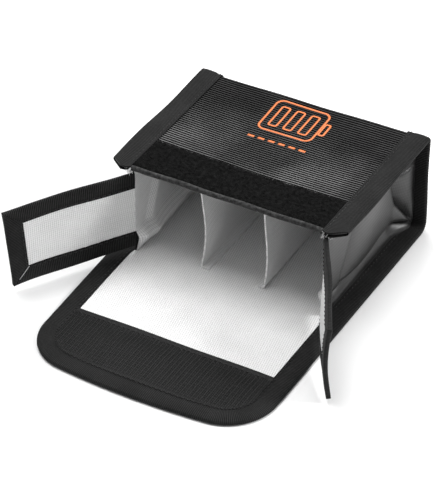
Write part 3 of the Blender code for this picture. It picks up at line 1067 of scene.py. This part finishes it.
def flap_tape(flap, name, route, lift):
    """Tape folded round one edge of a flap. route is its length, a function to (u, v), and how each end is cut."""
    length, to_uv, cut_start, cut_end = route
    rows, crest = swept_rows(length)
    section = tape_section(FLAP_TAPE, 0.0, fold=FLAP_FOLD)
    swell = puffed(section, FLAP_TAPE, 0.00022)
    room = np.full(len(rows), 1.0)
    if cut_start:
        room = np.minimum(room, rows / FLAP_TAPE)
    if cut_end:
        room = np.minimum(room, (length - rows) / FLAP_TAPE)
    room = np.clip(room, 0.04, 1)
    rib = np.where(crest == 1, 0.00010, -0.00004)
    inset = section[None, :, 0] * room[:, None]
    outwards = np.where(section[:, 1] < FLAP_FOLD / 2, 1.0, -1.0)
    offset = (FLAP_FOLD / 2 - section[None, :, 1]) + outwards[None, :] * (swell[None, :] + rib[:, None] + lift)
    u, v = to_uv(rows[:, None], inset)
    grid = flap.at(u / flap.length, v / flap.height, offset)
    flat = np.zeros((len(rows), len(section), 2))
    flat[..., 0] = np.arange(len(rows))[:, None] * RIB / 2
    flat[..., 1] = section[None, :, 2]
    return cloth_sheet(name, grid, flat, TAPE_BLACK, TAPE)


def build_flap(name, flap):
    """One side flap: cloth, lining, tape on its three free edges, and stitches on both faces."""
    made = []
    shell = flap_sheet(flap, f"{name}_flap_cloth", 0.00032, 0.0009, COATED, SHELL)
    lining = flap_sheet(flap, f"{name}_flap_lining_cloth", -0.00034, 0.0009, WHITE, LINING)
    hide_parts(f"{name}_flap_shell")
    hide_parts(f"{name}_flap_lining")
    made += [shell, lining]
    long, tall = flap.length, flap.height
    low = (long, lambda s, inset: (s, inset), False, True)
    end = (tall, lambda s, inset: (long - inset, s), True, True)
    high = (long, lambda s, inset: (s, tall - inset), False, True)
    bottom = flap_tape(flap, f"{name}_flap_low_tape", low, 0.0)
    far = flap_tape(flap, f"{name}_flap_end_tape", end, 0.00012)
    top = flap_tape(flap, f"{name}_flap_top_tape", high, 0.00005)
    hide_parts(f"{name}_flap_binding")
    made += [bottom, far, top]
    line = FLAP_TAPE - 0.0012
    for face in (1, -1):
        off = face * (FLAP_FOLD / 2 + 0.0001)
        seams = {
            "low": (0.001, long - line, lambda s: (s, line)),
            "end": (line, tall - line, lambda s: (long - line, s)),
            "top": (0.001, long - line, lambda s: (s, tall - line)),
        }
        for word, (start, stop, where) in seams.items():

            def place(s, where=where, off=off, face=face):
                u, v = where(s)
                point = flap.at(u / long, v / tall, off)
                above = flap.at(u / long, v / tall, off + face * 1e-3)
                return point, above - point

            side_word = "outer" if face > 0 else "inner"
            made.append(
                stitch_row(
                    f"{name}_flap_{word}_{side_word}_stitches", place, start, stop, BLACK_THREAD
                )
            )
    # A raw thread shows along the mitre at the bottom corner, on the inner face.
    mitre = [
        flap.at(1 - FLAP_TAPE * share / long, FLAP_TAPE * share / tall, -FLAP_FOLD / 2 - 0.0004)
        for share in np.linspace(0.35, 1.0, 8)
    ]
    made.append(hair_mesh(f"{name}_flap_mitre_thread", [mitre], 0.00022, WHITE_THREAD))
    for piece in made:
        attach(piece, f"{name}_flap")
        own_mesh(piece)
    for sheet in (shell, lining):
        declare_sheet(sheet)


def build_flaps():
    """The left flap stands open as cut. The right one droops at its far end, which is seen edge on."""
    left = Flap(
        -1, (FLAP_LOW + 0.001, FLAP_HIGH - 0.002), (-0.0966, -0.0566, FLAP_LOW), (-0.0964, -0.0627, FLAP_HIGH),
        0.0016, 0.0006, 0.0005, 0.0
    )
    right = Flap(
        1, (FLAP_LOW + 0.004, FLAP_HIGH), (0.0912, -0.0547, 0.0030), (0.0941, -0.0609, 0.0525),
        0.0010, -0.0014, -0.0020, -0.0018
    )
    build_flap("left", left)
    build_flap("right", right)


# ---------------------------------------------------------------- print


def ribbon(name, outline, width, closed=True):
    """A flat printed line on the top panel, along a plan outline of (x, y) points."""
    path = np.array(outline, float)
    if closed:
        ahead, behind = np.roll(path, -1, axis=0), np.roll(path, 1, axis=0)
    else:
        ahead = np.concatenate([path[1:], path[-1:]])
        behind = np.concatenate([path[:1], path[:-1]])
    forward = ahead - behind
    forward /= np.linalg.norm(forward, axis=1, keepdims=True)
    side = np.stack([-forward[:, 1], forward[:, 0]], axis=1)
    rims = [path + side * width * share for share in (-0.5, 0.0, 0.5)]
    points = np.zeros((len(path), 3, 3))
    points[..., :2] = np.stack(rims, axis=1)
    points[..., 2] = HEIGHT - SHELL_DEPTH + SHELL / 2 + 0.00012
    flat = points[..., :2].reshape(-1, 2).copy()
    shaped = settle(points).reshape(-1, 3)
    columns = 3
    rows = len(path) + (1 if closed else 0)
    index = np.arange(len(path) * columns).reshape(-1, columns)
    if closed:
        index = np.concatenate([index, index[:1]])
    corners = (index[:-1, :-1], index[:-1, 1:], index[1:, 1:], index[1:, :-1])
    faces = np.stack(corners, axis=-1).reshape(-1, 4)
    flat[:, 1] = WRAP_LENGTH - flat[:, 1]
    obj = finish_mesh(name, shaped, faces, flat, ORANGE)
    solid = obj.modifiers.new("thickness", "SOLIDIFY")
    solid.thickness = 0.00006
    solid.offset = 0.0
    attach(obj, "root")
    return obj


def rounded_box(centre_x, centre_y, half_x, half_y, radius):
    """Plan outline of a rectangle with round corners."""
    outline = []
    for turn in range(4):
        sx, sy = ((1, 1), (-1, 1), (-1, -1), (1, -1))[turn]
        corner = (centre_x + sx * (half_x - radius), centre_y + sy * (half_y - radius))
        for share in np.linspace(0, 1, 9):
            angle = pi / 2 * (turn + share)
            outline.append((corner[0] + radius * cos(angle), corner[1] + radius * sin(angle)))
    dense = []
    for here, there in zip(outline, outline[1:] + outline[:1]):
        gap = hypot(there[0] - here[0], there[1] - here[1])
        for share in np.arange(0, 1, min(1.0, 0.0015 / max(gap, 1e-6))):
            dense.append((here[0] + (there[0] - here[0]) * share, here[1] + (there[1] - here[1]) * share))
    return dense


def build_print():
    """A plain battery sign in orange: a case with its terminal, three charge bars, and a row of dashes below."""
    centre_x, centre_y = -0.002, 0.0805
    ribbon("print_case", rounded_box(centre_x, centre_y, 0.0160, 0.0135, 0.0040), 0.0013)
    ribbon("print_terminal", rounded_box(centre_x + 0.0184, centre_y, 0.0015, 0.0050, 0.0010), 0.0012)
    for i in range(3):
        bar_x = centre_x - 0.0090 + 0.0090 * i
        ribbon(f"print_bar_{i}", rounded_box(bar_x, centre_y, 0.0024, 0.0088, 0.0012), 0.0012)
    for i in range(6):
        start = centre_x - 0.0165 + i * 0.0062
        dash = [(start + 0.0010 * k, 0.0585) for k in range(5)]
        ribbon(f"print_dash_{i}", dash, 0.0016, closed=False)


# ---------------------------------------------------------------- frayed ends


def build_frayed_ends():
    """White threads that stand out of the cut seam ends above each flap's root."""
    rng = np.random.default_rng(11)
    for name, side in SIDES:
        strands = []
        for count in range(26):
            reach = 0.0605 if count < 14 or side < 0 else 0.0625
            start_x = side * rng.uniform(0.0570, reach)
            start_y = rng.uniform(0.0004, 0.0040)
            start = np.array([start_x, start_y, HEIGHT - rng.uniform(0.0010, 0.0045)])
            drift = np.array(
                [side * rng.uniform(-0.001, 0.0008), -rng.uniform(0.0004, 0.0014), -rng.uniform(0.0002, 0.0022)]
            )
            strand = []
            for share in np.linspace(0, 1, 5):
                curl = 0.0003 * sin(pi * share) * np.array([side, -0.6, 0.3])
                strand.append(start + drift * share + curl)
            strands.append(strand)
        frayed = hair_mesh(f"{name}_frayed_threads", strands, 0.00020, WHITE_THREAD)
        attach(frayed, "root")


# ---------------------------------------------------------------- stage


def build_stage():
    """A pale floor, soft studio light from above and both sides, and the camera."""
    mesh = bpy.data.meshes.new("floor")
    reach = 3.0
    corners = [(-reach, -reach, 0), (reach, -reach, 0), (reach, reach, 0), (-reach, reach, 0)]
    mesh.from_pydata(corners, [], [(0, 1, 2, 3)])
    mesh.materials.append(floor_material())
    floor = bpy.data.objects.new("floor", mesh)
    floor.location.z = -0.0002
    bpy.context.scene.collection.objects.link(floor)

    world = bpy.data.worlds.new("studio")
    world.use_nodes = True
    world.node_tree.nodes["Background"].inputs["Color"].default_value = (1.0, 1.0, 1.0, 1.0)
    world.node_tree.nodes["Background"].inputs["Strength"].default_value = 0.38
    bpy.context.scene.world = world

    for name, place, size, power in (
        ("top_light", (-0.25, 0.05, 1.35), 0.9, 16.0),
        ("sheen_light", (-0.62, 1.05, 0.95), 0.6, 5.4),
        ("right_light", (1.05, 0.45, 0.85), 0.4, 13.0),
    ):
        light = bpy.data.lights.new(name, "AREA")
        light.size = size
        light.energy = power
        lamp = bpy.data.objects.new(name, light)
        lamp.location = place
        aim = Vector((0.0, 0.01, 0.02)) - lamp.location
        lamp.rotation_euler = aim.to_track_quat("-Z", "Y").to_euler()
        bpy.context.scene.collection.objects.link(lamp)

    azimuth, elevation, roll = radians(29.77), radians(37.28), radians(-0.31)
    right = Vector((cos(azimuth), sin(azimuth), 0.0))
    up = Vector((-sin(elevation) * sin(azimuth), sin(elevation) * cos(azimuth), cos(elevation)))
    across = right * cos(roll) + up * sin(roll)
    upward = up * cos(roll) - right * sin(roll)
    camera = bpy.data.objects.new("camera", bpy.data.cameras.new("camera"))
    camera.location = (0.55097, -0.97031, 0.87790)
    camera.rotation_euler = Matrix((across, upward, across.cross(upward))).transposed().to_euler()
    camera.data.lens = 193.9
    camera.data.sensor_width = 36.0
    camera.data.clip_start, camera.data.clip_end = 0.05, 20.0
    bpy.context.scene.collection.objects.link(camera)
    bpy.context.scene.camera = camera
    bpy.context.scene.view_settings.view_transform = "Standard"


build_stage()
build_shell_and_lining()
build_edges()
build_walls()
build_dividers()
build_mouth()
build_lid_end()
build_fold_stitches()
build_hooks()
build_flaps()
build_print()
build_frayed_ends()
